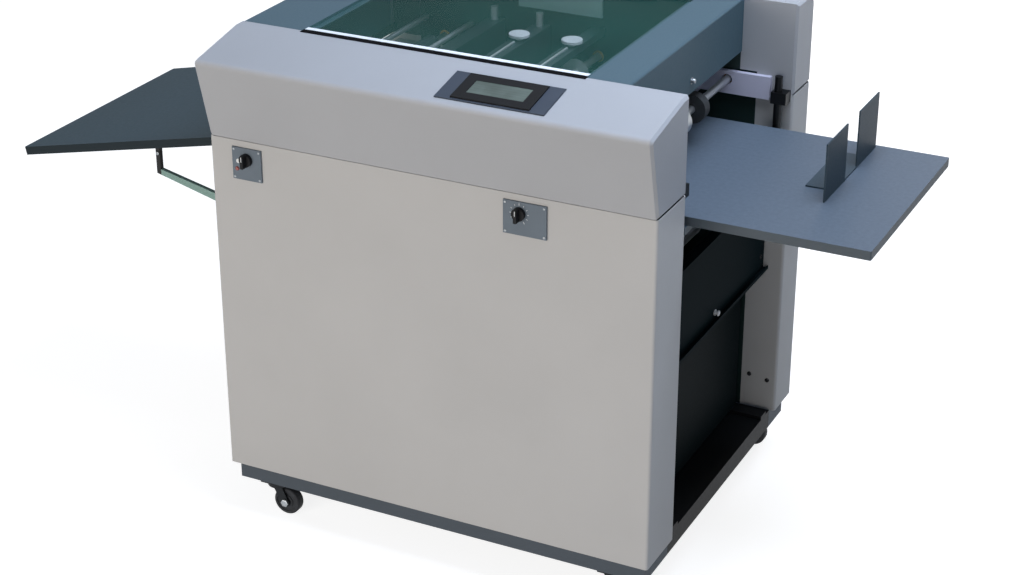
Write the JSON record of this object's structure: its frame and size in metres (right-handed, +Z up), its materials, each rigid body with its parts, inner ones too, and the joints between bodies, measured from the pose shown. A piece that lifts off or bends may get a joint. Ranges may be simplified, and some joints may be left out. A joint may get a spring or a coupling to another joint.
{
  "type": "creasing machine",
  "caption": "Floor-standing paper slitting, creasing and cutting machine: two cabinets on casters joined by a paper path with hinged window, feed table, sloping exit tray and waste bin.",
  "frame": {"origin": "centre of the machine's footprint box, on the floor under the wheels", "axes": "+X towards the feed table along the paper path, +Y from the front cabinet with the console to the rear cabinet, +Z up"},
  "size_m": [1.8604, 0.8446, 1.0483],
  "materials": {
    "panel_paint": "satin powder-coated steel sheet",
    "hood_paint": "satin powder-coated steel sheet",
    "teal_paint": "satin powder-coated steel sheet",
    "dark_paint": "matt powder-coated steel",
    "base_paint": "matt powder-coated steel",
    "inner_plate": "matt painted steel plate",
    "register_paint": "pale satin painted steel",
    "stay_paint": "pale green-grey satin paint",
    "table_board": "laminated board",
    "tray_board": "laminated board",
    "tool_steel": "ground steel",
    "beam_aluminium": "dark anodised aluminium",
    "roller_rubber": "ground rubber on a steel shaft",
    "belt_rubber": "moulded rubber",
    "bush_bronze": "sintered bronze",
    "caster_zinc": "zinc-plated steel",
    "caster_tyre": "moulded rubber wheel",
    "black_plastic": "fine-grained moulded plastic",
    "grey_plastic": "fine-grained moulded plastic",
    "knob_plastic": "pale glossy moulded plastic",
    "bin_plastic": "moulded plastic",
    "screen_glass": "display glass",
    "lid_acrylic": "tinted clear acrylic",
    "motor_paint": "satin painted motor case"
  },
  "bodies": {
    "frame": {"base_frame": "base_paint", "caster_plates": "caster_zinc", "front_panel": "panel_paint", "front_hood": "hood_paint", "hood_caps": "hood_paint", "console_plate": "grey_plastic", "touch_panel": "black_plastic", "screen_glass": "screen_glass", "control_plates": "grey_plastic", "front_side_frame": "inner_plate", "rear_side_frame": "inner_plate", "rear_panel": "panel_paint", "rear_hood": "hood_paint", "top_cover": "teal_paint", "lid_hinges": "caster_zinc", "feed_panel": "teal_paint", "delivery_panel": "teal_paint", "tie_bars": "tool_steel", "paper_deck": "tool_steel", "register_wall": "register_paint", "shaft_bushes": "bush_bronze", "crease_matrix": "tool_steel", "cutter_bed": "tool_steel", "guide_posts": "tool_steel", "lift_rails": "tool_steel", "drive_motor": "motor_paint", "drive_belt": "belt_rubber", "power_inlet": "black_plastic", "tray_brackets": "dark_paint", "slitter_bridge": "beam_aluminium", "slitter_knob": "knob_plastic"},
    "window_lid": {"window_lid": "lid_acrylic", "lid_clamps": "caster_zinc"},
    "feed_table": {"feed_table": "table_board", "table_carriage": "dark_paint"},
    "back_stops": {"back_stops": "dark_paint"},
    "exit_tray": {"exit_tray": "tray_board", "tray_stays": "stay_paint"},
    "waste_bin": {"waste_bin": "bin_plastic"},
    "pick_roller": {"pick_roller": "roller_rubber"},
    "feed_roller_lower": {"feed_roller_lower": "roller_rubber"},
    "feed_roller_upper": {"feed_roller_upper": "roller_rubber"},
    "slitter_lower": {"slitter_lower": "tool_steel"},
    "slitter_upper": {"slitter_upper": "tool_steel"},
    "exit_roller_lower": {"exit_roller_lower": "roller_rubber"},
    "exit_roller_upper": {"exit_roller_upper": "roller_rubber"},
    "motor_pulley": {"motor_pulley": "tool_steel"},
    "crease_head": {"crease_head": "beam_aluminium", "crease_knob": "knob_plastic"},
    "cutter_head": {"cutter_head": "beam_aluminium"},
    "power_knob": {"power_knob": "black_plastic"},
    "dial_knob": {"dial_knob": "black_plastic"},
    "fork_front_left": {"fork_front_left": "caster_zinc"},
    "wheel_front_left": {"wheel_front_left": "caster_tyre"},
    "fork_front_right": {"fork_front_right": "caster_zinc"},
    "wheel_front_right": {"wheel_front_right": "caster_tyre"},
    "fork_rear_left": {"fork_rear_left": "caster_zinc"},
    "wheel_rear_left": {"wheel_rear_left": "caster_tyre"},
    "fork_rear_right": {"fork_rear_right": "caster_zinc"},
    "wheel_rear_right": {"wheel_rear_right": "caster_tyre"}
  },
  "joints": [
    {"name": "lid_hinge", "type": "hinge", "parent": "frame", "child": "window_lid", "pos_m": [0.08769, 0.26233, 1.0443], "axis": [-1, 0, 0], "range_deg": [0, 80]},
    {"name": "table_lift", "type": "slide", "parent": "frame", "child": "feed_table", "axis": [0, 0, 1], "range_m": [-0.07, 0.03]},
    {"name": "stop_slide", "type": "slide", "parent": "feed_table", "child": "back_stops", "axis": [1, 0, 0], "range_m": [-0.12, 0.12]},
    {"name": "tray_hinge", "type": "hinge", "parent": "frame", "child": "exit_tray", "pos_m": [-0.36581, 0.03483, 0.781], "axis": [0, 1, 0], "range_deg": [0, 95]},
    {"name": "bin_slide", "type": "slide", "parent": "frame", "child": "waste_bin", "axis": [1, 0, 0], "range_m": [0, 0.4]},
    {"name": "feed_roller_lower_spin", "type": "hinge", "parent": "frame", "child": "feed_roller_lower", "pos_m": [0.31819, 0.03483, 0.8148], "axis": [0, 1, 0], "continuous": true},
    {"name": "feed_roller_upper_spin", "type": "hinge", "parent": "frame", "child": "feed_roller_upper", "pos_m": [0.31819, 0.03483, 0.8552], "axis": [0, 1, 0], "continuous": true},
    {"name": "slitter_lower_spin", "type": "hinge", "parent": "frame", "child": "slitter_lower", "pos_m": [0.15319, 0.03483, 0.8056], "axis": [0, 1, 0], "continuous": true},
    {"name": "slitter_upper_spin", "type": "hinge", "parent": "frame", "child": "slitter_upper", "pos_m": [0.15319, 0.03483, 0.8644], "axis": [0, 1, 0], "continuous": true},
    {"name": "exit_roller_lower_spin", "type": "hinge", "parent": "frame", "child": "exit_roller_lower", "pos_m": [-0.21181, 0.03483, 0.8148], "axis": [0, 1, 0], "continuous": true},
    {"name": "exit_roller_upper_spin", "type": "hinge", "parent": "frame", "child": "exit_roller_upper", "pos_m": [-0.21181, 0.03483, 0.8552], "axis": [0, 1, 0], "continuous": true},
    {"name": "pick_roller_spin", "type": "hinge", "parent": "frame", "child": "pick_roller", "pos_m": [0.44819, 0.03483, 0.8653], "axis": [0, 1, 0], "continuous": true},
    {"name": "motor_pulley_spin", "type": "hinge", "parent": "frame", "child": "motor_pulley", "pos_m": [0.31819, 0.03483, 0.605], "axis": [0, 1, 0], "continuous": true},
    {"name": "crease_stroke", "type": "slide", "parent": "frame", "child": "crease_head", "axis": [0, 0, 1], "range_m": [-0.006, 0]},
    {"name": "cutter_stroke", "type": "slide", "parent": "frame", "child": "cutter_head", "axis": [0, 0, 1], "range_m": [-0.0155, 0]},
    {"name": "power_switch", "type": "hinge", "parent": "frame", "child": "power_knob", "pos_m": [-0.26781, -0.38267, 0.811], "axis": [0, 1, 0], "range_deg": [0, 90]},
    {"name": "dial_turn", "type": "hinge", "parent": "frame", "child": "dial_knob", "pos_m": [0.31719, -0.38267, 0.811], "axis": [0, 1, 0], "range_deg": [-150, 150]},
    {"name": "swivel_front_left", "type": "hinge", "parent": "frame", "child": "fork_front_left", "pos_m": [-0.26681, -0.33467, 0.07], "axis": [0, 0, 1], "continuous": true},
    {"name": "roll_front_left", "type": "hinge", "parent": "fork_front_left", "child": "wheel_front_left", "pos_m": [-0.24481, -0.33467, 0.03], "axis": [0, 1, 0], "continuous": true},
    {"name": "swivel_front_right", "type": "hinge", "parent": "frame", "child": "fork_front_right", "pos_m": [0.50319, -0.33467, 0.07], "axis": [0, 0, 1], "continuous": true},
    {"name": "roll_front_right", "type": "hinge", "parent": "fork_front_right", "child": "wheel_front_right", "pos_m": [0.52519, -0.33467, 0.03], "axis": [0, 1, 0], "continuous": true},
    {"name": "swivel_rear_left", "type": "hinge", "parent": "frame", "child": "fork_rear_left", "pos_m": [-0.26681, 0.37433, 0.07], "axis": [0, 0, 1], "continuous": true},
    {"name": "roll_rear_left", "type": "hinge", "parent": "fork_rear_left", "child": "wheel_rear_left", "pos_m": [-0.24481, 0.37433, 0.03], "axis": [0, 1, 0], "continuous": true},
    {"name": "swivel_rear_right", "type": "hinge", "parent": "frame", "child": "fork_rear_right", "pos_m": [0.50319, 0.37433, 0.07], "axis": [0, 0, 1], "continuous": true},
    {"name": "roll_rear_right", "type": "hinge", "parent": "fork_rear_right", "child": "wheel_rear_right", "pos_m": [0.52519, 0.37433, 0.03], "axis": [0, 1, 0], "continuous": true}
  ],
  "couplings": [
    {"joint": "feed_roller_upper_spin", "follows": "feed_roller_lower_spin", "ratio": -1},
    {"joint": "exit_roller_lower_spin", "follows": "feed_roller_lower_spin", "ratio": 1},
    {"joint": "exit_roller_upper_spin", "follows": "feed_roller_lower_spin", "ratio": -1},
    {"joint": "slitter_lower_spin", "follows": "feed_roller_lower_spin", "ratio": 0.68707},
    {"joint": "slitter_upper_spin", "follows": "feed_roller_lower_spin", "ratio": -0.68707},
    {"joint": "pick_roller_spin", "follows": "feed_roller_lower_spin", "ratio": -0.66667},
    {"joint": "motor_pulley_spin", "follows": "feed_roller_lower_spin", "ratio": 1.5714}
  ]
}
